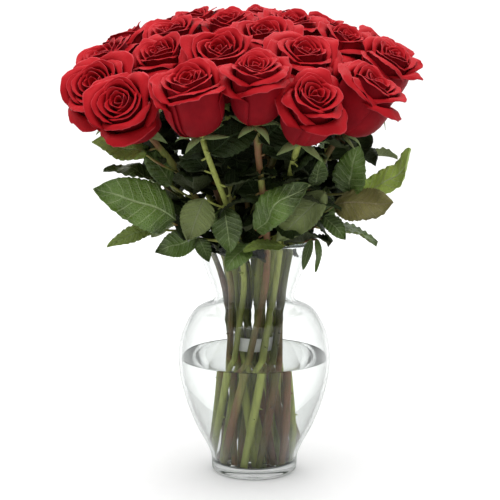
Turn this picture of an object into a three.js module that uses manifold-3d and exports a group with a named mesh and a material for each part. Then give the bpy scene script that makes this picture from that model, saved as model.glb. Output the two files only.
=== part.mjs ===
// Two dozen red roses standing in a clear glass vase with water.
// Millimetres, +Z up. The origin is the middle of the vase's flat foot, and the front looks along -Y.
import * as THREE from 'three';
import { mergeVertices } from 'three/addons/utils/BufferGeometryUtils.js';
import Module from 'manifold-3d';

const wasm = await Module();
wasm.setup();

// ---- driving dimensions -------------------------------------------------------------------

// Vase: outer outline as [height, radius], from the foot to the rim
const VASE_OUTLINE = [
  [0, 39.5], [3, 41.6], [15, 42.4], [28, 47.5], [48, 58], [72, 67], [95, 72.5], [114, 74],
  [132, 71.7], [147, 66], [160, 57], [171.5, 39], [200, 47.5], [231, 58],
];
const WALL = 3;
const FLOOR = 9.5;
const VASE_SIDES = 20;
const WATER_LEVEL = 114;
const GAP = 0.3;
const SMALLEST_DETAIL = 0.05;

// Stems: straight from the foot to the waist, where the bunch is tightest, then bent to the blooms.
// The stems of a ring lean round the Z axis, and those of the next ring lean the other way.
const STEM_RADIUS = 3.3;
const STEM_SIDES = 5;
const STEM_FOOT = FLOOR + 1.1;
const BAND_HEIGHT = 120;
const WAIST_HEIGHT = 172;
const HOLE_GAP = 0.45;
const HOLE_START = 8;
const LOWER_PULL = 66;
const UPPER_PULL = 62;
const BEND_STEPS = 5;
const STEM_RINGS = [
  { radius: 24.5, first: 159.4, blooms: 11, twist: 0.0082 },
  { radius: 15.3, first: 86.6, blooms: 8, twist: -0.0112 },
  { radius: 7.1, first: 119.9, blooms: 5, twist: 0.0124 },
];
// How far a stem stands from its even place in its ring, in degrees, and how much its twist varies
const SWAY = 2.9;
const UNEVEN = 0.14;

// The band that ties the two inner rings of stems together
const BAND_INNER = 19.6;
const BAND_WALL = 0.8;
const BAND_SPAN = [122, 135];
const BAND_SIDES = 30;

// Blooms: the crown of each, ring by ring and anticlockwise, and which way it looks. A bloom looks
// away from FOCUS unless it has a look of its own.
const FOCUS = [0, 90, 150];
const CROWNS = [
  { at: [-150, -61, 389], look: [-21, -40, 36] },
  { at: [-122, -123, 377], look: [-24, -60, 38] },
  { at: [-59, -145, 401], look: [-67, -154, 320] },
  { at: [1, -142, 412], look: [-2, -152, 332] },
  { at: [54, -150, 387], look: [27, -80, 94] },
  { at: [111, -98, 394], look: [125, -75, 200] },
  { at: [132, -30, 412] },
  { at: [129, 40, 419] },
  { at: [94, 122, 420], look: [94, 70, 286] },
  { at: [18, 147, 436], look: [10, 24, 286] },
  { at: [-66, 136, 437], look: [-50, 60, 280] },
  { at: [-131, 90, 424] },
  { at: [-151, 25, 410] },
  { at: [-90, -47, 418] },
  { at: [-33, -87, 423] },
  { at: [47, -87, 421], look: [40, -100, 190] },
  { at: [90, 0, 429] },
  { at: [70, 64, 439] },
  { at: [10, 83, 447] },
  { at: [-60, 64, 445] },
  { at: [-82, 8, 435] },
  { at: [9, -40, 436] },
  { at: [38, 13, 444] },
  { at: [-26, 16, 444] },
];
const BLOOM_HEIGHT = 62;
const BLOOM_MIDDLE = 24;
const WIDEST_BLOOM = 34;
const ROOM = 0.507;
const GOLDEN_TURN = 137.5;

// Outer petals, as lines across the petal from its foot to its lip, in shares of the bloom's height
// and radius. Each has the way its outer side faces, as [out, up], longer where the petal folds.
const OUTER_PETALS = 5;
const PETAL_SPREAD = 43;
const PETAL_THICKNESS = 0.9;
const PETAL_LINES = [
  { up: 0.07, out: 0.14, spread: 0.9, face: [0.4, -0.9] },
  { up: 0.22, out: 0.74, spread: 1, face: [0.9, -0.55] },
  { up: 0.74, out: 0.82, spread: 1, face: [1, -2.2] },
  { up: 0.66, out: 0.97, spread: 0.86, face: [-0.6, -0.8] },
];
const PETAL_OVERLAP = 0.17;
const LIP_RISE = 0.07;
const LIP_DROP = 0.1;

// The folded inner petals, as rings of [height, radius, rise and fall of the lobes] in the same shares
const CORE_SIDES = 6;
const CORE_TWIST = 0.35;
const CORE_RINGS = [
  [0.006, 0.14, 0],
  [0.1, 0.34, 0],
  [0.8, 0.58, 0.04],
  [0.7, 0.44, 0.02],
  [0.96, 0.34, -0.03],
  [0.84, 0.18, 0],
  [0.98, 0.07, 0.01],
];

// Calyx: the cup under the petals and its five leafy tips
const CALYX_RADIUS = 5.4;
const CALYX_HEIGHT = 8;
const CALYX_RIM = 3;
const SEPALS = 5;
const SEPAL_LENGTH = 22;
const SEPAL_THICKNESS = 1.2;
const SEPAL_DROP = 3;

// Leaves at the front. Each is on the stem with that index, and its stalk leaves the stem at that
// share of its bend. Then come the base and tip of the blade, its width, the way its upper side
// faces, and its arch as a share of its length.
const FRONT_LEAVES = [
  { stem: 0, from: 0.5, base: [-88, -20, 286], tip: [-142, -30, 300], width: 29, face: [0, -1, 3], arch: 0.1 },
  { stem: 1, from: 0.66, base: [-98, -86, 322], tip: [-146, -86, 332], width: 29, face: [0, -1, 1], arch: 0.08 },
  { stem: 1, from: 0.3, base: [-77, -72, 258], tip: [-141, -108, 296], width: 50, face: [0, -3, 2], arch: 0.1 },
  { stem: 1, from: 0.36, base: [-94, -52, 248], tip: [-135, -70, 233], width: 18, face: [1, 2, 2], arch: 0.12 },
  { stem: 2, from: 0.36, base: [-53, -57, 240], tip: [-92, -62, 228], width: 26, face: [0, -2, 1], arch: 0.06 },
  { stem: 2, from: 0.54, base: [-46, -82, 281], tip: [-60, -100, 245], width: 33, face: [0, 2, -1], arch: -0.1 },
  { stem: 1, from: 0.5, base: [-78, -44, 288], tip: [-108, -46, 328], width: 26, face: [1, -2, 1], arch: 0.06 },
  { stem: 2, from: 0.56, base: [-28, -74, 272], tip: [-22, -84, 232], width: 29, face: [0, -2, 1], arch: 0.12 },
  { stem: 3, from: 0.3, base: [-5, -60, 236], tip: [-26, -74, 212], width: 24, face: [0, -2, 2], arch: 0.12 },
  { stem: 2, from: 0.34, base: [-52, -58, 241], tip: [-42, -66, 220], width: 15, face: [0, -2, 1], arch: 0.1 },
  { stem: 3, from: 0.42, base: [1, -84, 253], tip: [50, -108, 298], width: 38, face: [-1, -3, 2], arch: 0.12 },
  { stem: 4, from: 0.56, base: [64, -88, 288], tip: [21, -74, 241], width: 30, face: [0, 3, -1], arch: -0.1 },
  { stem: 5, from: 0.6, base: [86, -64, 284], tip: [94, -84, 330], width: 34, face: [-1, -3, 1], arch: 0.08 },
  { stem: 5, from: 0.5, base: [88, -54, 278], tip: [146, -76, 318], width: 31, face: [-1, -2, 2], arch: -0.14 },
  { stem: 5, from: 0.4, base: [73, -74, 274], tip: [125, -98, 280], width: 37, face: [0, 3, -2], arch: -0.06 },
  { stem: 5, from: 0.34, base: [60, -38, 250], tip: [68, -46, 286], width: 24, face: [1, -3, 1], arch: 0.08 },
  { stem: 5, from: 0.36, base: [64, -52, 260], tip: [84, -62, 240], width: 18, face: [1, -3, 1], arch: 0.1 },
  { stem: 5, from: 0.3, base: [53, -60, 240], tip: [45, -64, 212], width: 9, face: [0, -1, 1], arch: 0.08 },
  { stem: 5, from: 0.34, base: [58, -56, 239], tip: [57, -60, 209], width: 9, face: [1, -1, 1], arch: 0.08 },
  { stem: 4, from: 0.38, base: [26, -66, 234], tip: [-10, -76, 233], width: 18, face: [0, -2, 3], arch: 0.1 },
  { stem: 4, from: 0.62, base: [54, -76, 292], tip: [60, -90, 320], width: 18, face: [1, -3, 1], arch: 0.08 },
];

// Pairs of leaflets on the stems at the sides and back, set low and high by turns
const SPRAY_STEMS = [12, 11, 10, 9, 8, 7, 6];
const SPRAY_FROM = [0.36, 0.62];
const SPRAY_STALK = 26;
const SPRAY_LENGTH = 54;
const SPRAY_WIDTH = 31;
const SPRAY_SPLAY = 0.62;
const SPRAY_LIFT = [-0.3, 0.12];

// A blade's half outline with its teeth, as shares of length and half width
const LEAF_EDGE = [[0.14, 0.62], [0.36, 1], [0.41, 0.88], [0.66, 0.84], [0.71, 0.66]];
const LEAF_THICKNESS = 0.8;
const LEAF_FOLD = 0.22;
const STALK_WIDTH = 2.6;

// Colours
const GLASS = 0xdfe8e6;
const WATER = 0xcfdcd8;
const RED = 0xb5121f;
const GREEN = 0x4c6b2c;
const BAND = 0xe4e6df;

// ---- geometry helpers ---------------------------------------------------------------------

const vec = (x, y, z) => new THREE.Vector3(x, y, z);
const radians = THREE.MathUtils.degToRad;

function meshFrom(points, faces) {
  const geometry = new THREE.BufferGeometry();
  geometry.setAttribute('position', new THREE.Float32BufferAttribute(points.flatMap((p) => [p.x, p.y, p.z]), 3));
  geometry.setIndex(faces.flat());
  return geometry;
}

// Faces of a skin through rings of equal size, with a flat fan over the first ring
function tubeFaces(rings) {
  const sides = rings[0].length;
  const faces = [];
  for (let r = 0; r + 1 < rings.length; r += 1) {
    for (let s = 0; s < sides; s += 1) {
      const a = r * sides + s;
      const b = r * sides + (s + 1) % sides;
      faces.push([a, b, b + sides], [a, b + sides, a + sides]);
    }
  }
  for (let s = 1; s + 1 < sides; s += 1) {
    faces.push([0, s + 1, s]);
  }
  return faces;
}

// The same, with a fan over the last ring as well
function loft(rings) {
  const faces = tubeFaces(rings);
  const sides = rings[0].length;
  const last = (rings.length - 1) * sides;
  for (let s = 1; s + 1 < sides; s += 1) {
    faces.push([last, last + s, last + s + 1]);
  }
  return meshFrom(rings.flat(), faces);
}

// Ring of points round a centre, square to a direction
function ringRound(centre, along, radius, sides) {
  const frame = new THREE.Quaternion().setFromUnitVectors(vec(0, 0, 1), along);
  return Array.from({ length: sides }, (_, s) => {
    const angle = (2 * Math.PI * s) / sides;
    return vec(Math.cos(angle), Math.sin(angle), 0).multiplyScalar(radius).applyQuaternion(frame).add(centre);
  });
}

// Thin closed blade: a sheet of triangles, its copy a thickness below, and the edge between them
function blade(points, faces, outline, below) {
  const count = points.length;
  const lower = points.map((p, i) => p.clone().sub(below[i]));
  const all = [...faces];
  faces.forEach(([a, b, c]) => all.push([count + a, count + c, count + b]));
  outline.forEach((a, i) => {
    const b = outline[(i + 1) % outline.length];
    all.push([a, count + a, count + b], [a, count + b, b]);
  });
  return meshFrom([...points, ...lower], all);
}

function solid(geometry) {
  const bare = geometry.clone();
  bare.deleteAttribute('normal');
  bare.deleteAttribute('uv');
  const merged = mergeVertices(bare, 1e-4);
  return new wasm.Manifold(new wasm.Mesh({
    numProp: 3,
    vertProperties: new Float32Array(merged.attributes.position.array),
    triVerts: new Uint32Array(merged.index.array),
  }));
}

// The largest skin of a joined body, so that a hollow sealed inside it is filled
function geometryOf(body) {
  const skins = body.decompose().sort((a, b) => b.volume() - a.volume());
  const mesh = skins[0].simplify(SMALLEST_DETAIL).getMesh();
  const geometry = new THREE.BufferGeometry();
  geometry.setAttribute('position', new THREE.Float32BufferAttribute(mesh.vertProperties, 3));
  geometry.setIndex([...mesh.triVerts]);
  return geometry;
}

function part(name, geometry, color, roughness, extra = {}) {
  const shaded = geometry.toNonIndexed();
  shaded.computeVertexNormals();
  const mesh = new THREE.Mesh(shaded, new THREE.MeshStandardMaterial({ color, roughness, metalness: 0, ...extra }));
  mesh.name = name;
  return mesh;
}

const numbered = (name, index) => `${name}_${String(index + 1).padStart(2, '0')}`;

// ---- vase and water -----------------------------------------------------------------------

// The outline moved inward by a distance, square to itself
function insetOutline(outline, distance) {
  return outline.map(([z, r], i) => {
    const [z0, r0] = outline[Math.max(i - 1, 0)];
    const [z1, r1] = outline[Math.min(i + 1, outline.length - 1)];
    const length = Math.hypot(z1 - z0, r1 - r0);
    return [z + (distance * (r1 - r0)) / length, r - (distance * (z1 - z0)) / length];
  });
}

function radiusAt(outline, height) {
  const above = outline.findIndex(([z]) => z >= height);
  const [z0, r0] = outline[above - 1];
  const [z1, r1] = outline[above];
  return r0 + ((r1 - r0) * (height - z0)) / (z1 - z0);
}

function lathe(outline) {
  return new THREE.LatheGeometry(outline.map(([z, r]) => new THREE.Vector2(r, z)), VASE_SIDES).rotateX(Math.PI / 2);
}

function innerOutline(distance, bottom, top) {
  const inset = insetOutline(VASE_OUTLINE, distance);
  const between = inset.filter(([z]) => z > bottom + 2 && z < top - 2);
  return [[bottom, radiusAt(inset, bottom)], ...between, [top, radiusAt(inset, top)]];
}

function vase() {
  const rim = VASE_OUTLINE.at(-1)[0];
  const inside = innerOutline(WALL, FLOOR, rim - 0.01).reverse();
  const closed = [[0, 0], ...VASE_OUTLINE, ...inside, [FLOOR, 0]];
  return part('vase', lathe(closed), GLASS, 0.05, { transparent: true, opacity: 0.35 });
}

function water(stems) {
  const outside = innerOutline(WALL + GAP, FLOOR + GAP, WATER_LEVEL);
  let body = solid(lathe([[FLOOR + GAP, 0], ...outside, [WATER_LEVEL, 0]]));
  for (const stem of stems) {
    const along = stem.waist.clone().sub(stem.foot).normalize();
    const ends = [stem.foot.clone().addScaledVector(along, -HOLE_START), stem.waist];
    body = body.subtract(solid(loft(ends.map((end) => ringRound(end, along, STEM_RADIUS + HOLE_GAP, STEM_SIDES)))));
  }
  return part('water', geometryOf(body), WATER, 0.02, { transparent: true, opacity: 0.3 });
}

function stemBand() {
  const [low, high] = BAND_SPAN;
  const outer = BAND_INNER + BAND_WALL;
  const corners = [[BAND_INNER, low], [outer, low], [outer, high], [BAND_INNER, high], [BAND_INNER, low]];
  const ring = new THREE.LatheGeometry(corners.map(([r, z]) => new THREE.Vector2(r, z)), BAND_SIDES);
  return part('stem_band', ring.rotateX(Math.PI / 2), BAND, 0.4);
}

// ---- layout of the bunch ------------------------------------------------------------------

// Each rose: its bloom's base, direction and radius, and the points of its stem
function layRoses() {
  const focus = vec(...FOCUS);
  const roses = CROWNS.map(({ at, look }) => {
    const crown = vec(...at);
    const along = (look ? vec(...look) : crown.clone().sub(focus)).normalize();
    return { crown, along, base: crown.clone().addScaledVector(along, -BLOOM_HEIGHT) };
  });
  const middles = roses.map((rose) => rose.crown.clone().addScaledVector(rose.along, -BLOOM_MIDDLE));
  roses.forEach((rose, i) => {
    const nearest = Math.min(...middles.filter((_, j) => j !== i).map((m) => m.distanceTo(middles[i])));
    rose.radius = Math.min(WIDEST_BLOOM, ROOM * nearest);
    rose.turn = radians(GOLDEN_TURN * i);
  });
  let index = 0;
  for (const { radius, first, blooms, twist } of STEM_RINGS) {
    for (let i = 0; i < blooms; i += 1) {
      const { turn } = roses[index];
      const angle = radians(first + (360 * i) / blooms + SWAY * Math.sin(turn));
      const lean = radius * twist * (1 + UNEVEN * Math.cos(turn));
      const out = vec(Math.cos(angle), Math.sin(angle), 0).multiplyScalar(radius);
      const along = vec(-Math.sin(angle), Math.cos(angle), 0).multiplyScalar(lean).setZ(1);
      const atHeight = (z) => out.clone().setZ(BAND_HEIGHT).addScaledVector(along, z - BAND_HEIGHT);
      const rose = roses[index];
      rose.foot = atHeight(STEM_FOOT);
      rose.waist = atHeight(WAIST_HEIGHT);
      rose.bend = new THREE.CubicBezierCurve3(
        rose.waist,
        rose.waist.clone().addScaledVector(along.normalize(), LOWER_PULL),
        rose.base.clone().addScaledVector(rose.along, -UPPER_PULL),
        rose.base,
      );
      index += 1;
    }
  }
  return roses;
}

// ---- blooms -------------------------------------------------------------------------------

// Point of a bloom in its own frame, from shares of height and radius and an angle
function bloomPoint(rose, up, out, angle) {
  return vec(Math.cos(angle), Math.sin(angle), 0).multiplyScalar(out * rose.radius).setZ(up * BLOOM_HEIGHT);
}

function foldedCore(rose) {
  const rings = CORE_RINGS.map(([up, out, lobes], level) =>
    Array.from({ length: CORE_SIDES }, (_, s) => {
      const rise = s % 2 ? lobes : -lobes;
      return bloomPoint(rose, up + rise, out, (2 * Math.PI * (s + level * CORE_TWIST)) / CORE_SIDES);
    }));
  return solid(loft(rings));
}

function outerPetal(rose, number) {
  const turn = (2 * Math.PI * number) / OUTER_PETALS;
  const columns = [-1, 0, 1];
  const points = [];
  const below = [];
  PETAL_LINES.forEach(({ up, out, spread, face }, row) => {
    for (const side of columns) {
      const angle = turn + side * radians(PETAL_SPREAD) * spread;
      const lip = row === PETAL_LINES.length - 1;
      const rise = lip ? LIP_RISE - LIP_DROP * Math.abs(side) : 0;
      points.push(bloomPoint(rose, up + rise, out * (1 + PETAL_OVERLAP * side), angle));
      const outward = vec(Math.cos(angle), Math.sin(angle), 0).multiplyScalar(face[0]).setZ(face[1]);
      below.push(outward.multiplyScalar(PETAL_THICKNESS));
    }
  });
  const faces = [];
  for (let row = 0; row + 1 < PETAL_LINES.length; row += 1) {
    for (let side = 0; side < 2; side += 1) {
      const a = row * 3 + side;
      faces.push([a, a + 1, a + 4], [a, a + 4, a + 3]);
    }
  }
  return solid(blade(points, faces, [0, 1, 2, 5, 8, 11, 10, 9, 6, 3], below));
}

function bloom(rose, index) {
  let body = foldedCore(rose);
  for (let i = 0; i < OUTER_PETALS; i += 1) {
    body = body.add(outerPetal(rose, i));
  }
  const mesh = part(numbered('bloom', index), geometryOf(body), RED, 0.7);
  placeOnStem(mesh, rose);
  return mesh;
}

function placeOnStem(mesh, rose) {
  mesh.quaternion.setFromUnitVectors(vec(0, 0, 1), rose.along);
  mesh.quaternion.multiply(new THREE.Quaternion().setFromAxisAngle(vec(0, 0, 1), rose.turn));
  mesh.position.copy(rose.base);
}

// ---- stems --------------------------------------------------------------------------------

// One layer of the calyx: tips of the sepals and notches between them, by turns
function sepalRing(rose, tipHeight, notchHeight) {
  const frame = new THREE.Quaternion().setFromUnitVectors(vec(0, 0, 1), rose.along);
  return Array.from({ length: 2 * SEPALS }, (_, s) => {
    const angle = (Math.PI * s) / SEPALS;
    const [radius, height] = s % 2 ? [SEPAL_LENGTH, tipHeight] : [CALYX_RADIUS, notchHeight];
    const point = vec(Math.cos(angle), Math.sin(angle), 0).multiplyScalar(radius).setZ(height);
    return point.applyQuaternion(frame).add(rose.base);
  });
}

// The stem with its calyx: five sides up to the neck, then a star of five sepals
function stemTube(rose) {
  const straight = rose.waist.clone().sub(rose.foot).normalize();
  const rings = [ringRound(rose.foot, straight, STEM_RADIUS, STEM_SIDES)];
  rings.push(ringRound(rose.waist, straight, STEM_RADIUS, STEM_SIDES));
  for (let step = 1; step < BEND_STEPS; step += 1) {
    const t = step / BEND_STEPS;
    rings.push(ringRound(rose.bend.getPoint(t), rose.bend.getTangent(t), STEM_RADIUS, STEM_SIDES));
  }
  const neck = rose.base.clone().addScaledVector(rose.along, -CALYX_HEIGHT);
  rings.push(ringRound(neck, rose.along, STEM_RADIUS, STEM_SIDES));
  const lower = sepalRing(rose, -SEPAL_DROP - SEPAL_THICKNESS, -CALYX_RIM);
  const upper = sepalRing(rose, -SEPAL_DROP, 0);
  return solid(calyxOn(rings, lower, upper, rose.base));
}

// Skin of the stem from its foot, widened from its last ring to the star of the calyx
function calyxOn(rings, lower, upper, top) {
  const faces = tubeFaces(rings);
  const neck = (rings.length - 1) * STEM_SIDES;
  const low = rings.length * STEM_SIDES;
  const high = low + 2 * SEPALS;
  const centre = high + 2 * SEPALS;
  for (let s = 0; s < STEM_SIDES; s += 1) {
    const [a, b] = [neck + s, neck + (s + 1) % STEM_SIDES];
    const [notch, tip, next] = [2 * s, 2 * s + 1, (2 * s + 2) % (2 * SEPALS)];
    faces.push([a, b, low + tip], [a, low + tip, low + notch], [b, low + next, low + tip]);
  }
  for (let s = 0; s < 2 * SEPALS; s += 1) {
    const t = (s + 1) % (2 * SEPALS);
    faces.push([low + s, low + t, high + t], [low + s, high + t, high + s], [high + s, high + t, centre]);
  }
  return meshFrom([...rings.flat(), ...lower, ...upper, top], faces);
}

// A toothed blade folded along its rib and its flat stalk from inside the stem, as one sheet
function leaf(start, { base, tip, width, face, arch }) {
  const from = vec(...base);
  const along = vec(...tip).sub(from);
  const length = along.length();
  along.normalize();
  const up = vec(...face);
  up.addScaledVector(along, -up.dot(along)).normalize();
  const across = up.clone().cross(along);
  const at = (share, side) => from.clone()
    .addScaledVector(along, share * length)
    .addScaledVector(across, (side * width) / 2)
    .addScaledVector(up, arch * length * Math.sin(Math.PI * share) + (LEAF_FOLD * Math.abs(side) * width) / 2);
  const left = LEAF_EDGE.map(([share, out]) => at(share, out));
  const right = LEAF_EDGE.map(([share, out]) => at(share, -out));
  const way = from.clone().sub(start).normalize();
  const farSide = across.clone().addScaledVector(way, -across.dot(way)).normalize();
  const farUp = way.clone().cross(farSide);
  const bentUp = up.clone().add(farUp).divideScalar(1 + up.dot(farUp));
  const pair = (middle, aside) => [1, -1].map((sign) => middle.clone().addScaledVector(aside, (sign * STALK_WIDTH) / 2));
  const points = [at(0.5, 0), ...pair(from, across), ...right, at(1, 0), ...left.reverse(), ...pair(start, farSide)];
  const ups = [up, bentUp, bentUp, ...points.slice(3, -2).map(() => up), farUp, farUp];
  const [farLeft, farRight] = [points.length - 2, points.length - 1];
  const rim = points.map((_, i) => i).slice(1, -2);
  const faces = rim.map((i, k) => [0, i, rim[(k + 1) % rim.length]]);
  faces.push([1, farLeft, farRight], [1, farRight, 2]);
  const below = ups.map((one) => one.clone().multiplyScalar(LEAF_THICKNESS));
  return solid(blade(points, faces, [...rim.slice(1), 1, farLeft, farRight], below));
}

function sprayLeaves(rose, index) {
  const turn = SPRAY_STEMS.indexOf(index);
  if (turn < 0) {
    return [];
  }
  const start = rose.bend.getPoint(SPRAY_FROM[turn % 2]);
  const out = start.clone().setZ(0).normalize();
  const aside = vec(-out.y, out.x, 0);
  return [-1, 1].map((side) => {
    const way = out.clone().addScaledVector(aside, side * SPRAY_SPLAY).setZ(SPRAY_LIFT[turn % 2]).normalize();
    const base = start.clone().addScaledVector(way, SPRAY_STALK);
    const tip = base.clone().addScaledVector(way, SPRAY_LENGTH);
    const face = [out.x * 0.3, out.y * 0.3, 1];
    const shape = { base: base.toArray(), tip: tip.toArray(), width: SPRAY_WIDTH, face, arch: 0.1 };
    return leaf(start, shape);
  });
}

function stem(rose, index) {
  const own = FRONT_LEAVES.filter((one) => one.stem === index).map((one) => leaf(rose.bend.getPoint(one.from), one));
  let body = stemTube(rose);
  for (const piece of [...own, ...sprayLeaves(rose, index)]) {
    body = body.add(piece);
  }
  return part(numbered('stem', index), geometryOf(body), GREEN, 0.6);
}

// ---- the object ---------------------------------------------------------------------------

const roses = layRoses();
const group = new THREE.Group();
group.add(vase(), water(roses), stemBand());
roses.forEach((rose, index) => group.add(stem(rose, index), bloom(rose, index)));

export default group;
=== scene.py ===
"""Two dozen red roses standing in a clear glass vase with water.

The layout is worked out in millimetres and the meshes are made in metres. The origin is the middle
of the vase's flat foot, +Z is up, and the front looks along -Y.
"""
import math
import random

import bmesh
import bpy
from bpy.props import FloatProperty, FloatVectorProperty, IntProperty, PointerProperty
from mathutils import Matrix, Quaternion, Vector, noise


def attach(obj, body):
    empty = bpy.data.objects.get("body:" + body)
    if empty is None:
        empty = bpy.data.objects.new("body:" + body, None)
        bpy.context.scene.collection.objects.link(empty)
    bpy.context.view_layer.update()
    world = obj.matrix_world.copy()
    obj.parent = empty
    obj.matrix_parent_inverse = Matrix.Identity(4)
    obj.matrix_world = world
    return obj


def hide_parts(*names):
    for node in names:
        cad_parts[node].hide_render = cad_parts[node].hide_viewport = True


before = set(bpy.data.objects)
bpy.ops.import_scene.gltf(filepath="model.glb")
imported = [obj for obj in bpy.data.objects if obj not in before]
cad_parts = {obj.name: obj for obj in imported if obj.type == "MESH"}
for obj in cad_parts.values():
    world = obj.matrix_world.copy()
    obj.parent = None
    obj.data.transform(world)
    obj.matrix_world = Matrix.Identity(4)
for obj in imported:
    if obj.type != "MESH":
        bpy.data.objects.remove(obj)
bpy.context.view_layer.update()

bl_info = {
    "name": "Roses in a vase",
    "version": (1, 0, 0),
    "blender": (4, 5, 0),
    "location": "View3D > Sidebar > Roses",
    "description": "Builds two dozen red roses with their leaves in a glass vase of water",
    "category": "Add Mesh",
}

MM = 0.001
MERGE_DISTANCE = 1e-7
UP = Vector((0, 0, 1))

# ---- layout of the vase and the bunch, in millimetres ----

# Outer outline of the vase as (height, radius), from the foot to the rim
VASE_OUTLINE = (
    (0, 39.5), (3, 41.6), (15, 42.4), (28, 47.5), (48, 58), (72, 67), (95, 72.5), (114, 74),
    (132, 71.7), (147, 66), (160, 57), (171.5, 39), (200, 47.5), (231, 58),
)
OUTLINE_STEPS = 6
# Underside of the foot as (height, radius), in place of the fine outline's first points
FOOT_PROFILE = ((1.2, 0), (1.2, 30), (0.2, 33.5), (0, 35.5), (0, 38), (0.6, 39.6))
FOOT_POINTS = 2
# Rounded rim, as the rise over the rim and the distance inside its radius
LIP_PROFILE = ((0.0, 0.4), (0.5, 1.5), (0.0, 2.6))
LIP_HEIGHT = 1.5
VASE_FLOOR = 9.5
# Rise and reach of the round corner between the floor and the wall
FLOOR_CORNER = (3, 4)
# Where the foot's glass has painted dark lines at its edges, standing in for dark things reflected
# there, and how high the foot reaches
FOOT_EDGE = 1
FLOOR_EDGE = (VASE_FLOOR - 0.5, VASE_FLOOR + 2.4)
EDGE_RADII = (31, 40.6)
FOOT_TOP = VASE_FLOOR + 1

WATER_GAP = 0.3
# Edge of the water on the glass, as the rise over its level and the distance from the glass
WATER_EDGE = ((0.9, 0.2), (0.3, 1.2), (0, 3))
# Painted dark line of the water along the glass: how deep below the level and how wide it reaches
WATER_LINE_DEPTH = 0.6
WATER_LINE_WIDTH = 1.6

BAND_INNER = 19.6
BAND_WALL = 0.8
BAND_ROUNDING = 0.2
BAND_SPAN = (122, 135)
BAND_SIDES = 64

# A stem is straight up to the waist and bends above it, by a pull at each end
STEM_FOOT = VASE_FLOOR + 1.1
BAND_HEIGHT = 120
WAIST_HEIGHT = 172
LOWER_PULL = 66
UPPER_PULL = 62
# Rings of stems, as the radius, the place of the first in degrees, how many, and their twist
STEM_RINGS = ((24.5, 159.4, 11, 0.0082), (15.3, 86.6, 8, -0.0112), (7.1, 119.9, 5, 0.0124))
# How far stems stray from their places, in degrees, and how unevenly they lean
SWAY = 2.9
UNEVEN = 0.14

FOCUS = Vector((0, 90, 150))
BLOOM_HEIGHT = 62
BLOOM_MIDDLE = 24
# A bloom's radius is a share of the way to its nearest neighbour, up to the widest
WIDEST_BLOOM = 34
ROOM = 0.507
GOLDEN_TURN = 137.5
CALYX_HEIGHT = 8
# Random draws of a rose, its inner leaves and its sepals start from these and its index
ROSE_SEED = 100
INNER_SEED = 500
SEPAL_SEED = 900
# Crown of each bloom, ring by ring and anticlockwise, and which way it looks if not away from FOCUS
CROWNS = (
    ((-150, -61, 389), (-21, -40, 36)),
    ((-122, -123, 377), (-24, -60, 38)),
    ((-59, -145, 401), (-67, -154, 320)),
    ((1, -142, 412), (-2, -152, 332)),
    ((54, -150, 387), (27, -80, 94)),
    ((111, -98, 394), (125, -75, 200)),
    ((132, -30, 412), None),
    ((129, 40, 419), None),
    ((94, 122, 420), (94, 70, 286)),
    ((18, 147, 436), (10, 24, 286)),
    ((-66, 136, 437), (-50, 60, 280)),
    ((-131, 90, 424), None),
    ((-151, 25, 410), None),
    ((-90, -47, 418), None),
    ((-33, -87, 423), None),
    ((47, -87, 421), (40, -100, 190)),
    ((90, 0, 429), None),
    ((70, 64, 439), None),
    ((10, 83, 447), None),
    ((-60, 64, 445), None),
    ((-82, 8, 435), None),
    ((9, -40, 436), None),
    ((38, 13, 444), None),
    ((-26, 16, 444), None),
)

# Leaves at the front: stem, share of its bend, base and tip of the blade, width, the way its upper
# side faces, arch as a share of its length, and its look: deep, fresh, pale (a painted-light copy
# of fresh) or olive
FRONT_LEAVES = (
    (0, 0.5, (-88, -20, 286), (-142, -30, 300), 29, (0, -1, 3), 0.1, "deep"),
    (1, 0.66, (-98, -86, 322), (-146, -86, 332), 29, (0, -1, 1), 0.08, "fresh"),
    (1, 0.3, (-77, -72, 258), (-141, -108, 296), 50, (0, -3, 2), 0.1, "deep"),
    (1, 0.36, (-94, -52, 248), (-135, -70, 233), 18, (0, -2, 2), 0.12, "fresh"),
    (2, 0.36, (-53, -57, 240), (-92, -62, 228), 26, (0, -2, 1), 0.06, "deep"),
    (2, 0.54, (-46, -82, 281), (-60, -100, 245), 33, (0, 2, -1), -0.1, "deep"),
    (1, 0.5, (-78, -44, 288), (-108, -46, 328), 26, (1, -2, 1), 0.06, "deep"),
    (2, 0.56, (-28, -74, 272), (-22, -84, 232), 29, (0, -2, 1), 0.12, "deep"),
    (3, 0.3, (-5, -60, 236), (-26, -74, 212), 24, (0, -2, 2), 0.12, "deep"),
    (2, 0.34, (-52, -58, 241), (-42, -66, 220), 15, (0, -2, 1), 0.1, "deep"),
    (3, 0.42, (1, -84, 253), (50, -108, 298), 38, (-1, -3, 2), 0.12, "deep"),
    (4, 0.56, (64, -88, 288), (21, -74, 241), 30, (0, 3, -1), -0.1, "deep"),
    (5, 0.6, (86, -64, 284), (94, -84, 330), 34, (-1, -3, 1), 0.08, "deep"),
    (5, 0.5, (88, -54, 278), (146, -76, 318), 31, (-1, -2, 2), -0.14, "pale"),
    (5, 0.4, (73, -74, 274), (125, -98, 280), 37, (0, 3, -2), -0.06, "olive"),
    (5, 0.34, (60, -38, 250), (68, -46, 286), 24, (1, -3, 1), 0.08, "deep"),
    (5, 0.36, (64, -52, 260), (84, -62, 240), 18, (1, -3, 1), 0.1, "deep"),
    (5, 0.3, (53, -60, 240), (45, -64, 212), 9, (0, -1, 1), 0.08, "deep"),
    (5, 0.34, (58, -56, 239), (57, -60, 209), 9, (1, -1, 1), 0.08, "deep"),
    (4, 0.38, (26, -66, 234), (-10, -76, 233), 18, (0, -2, 3), 0.1, "fresh"),
    (4, 0.62, (54, -76, 292), (60, -90, 320), 18, (1, -3, 1), 0.08, "deep"),
)

# Leaves at the front with a curled tip, by number, and how far it curls
CURLED = {13: 0.55, 1: 0.2, 3: 0.3}

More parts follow.
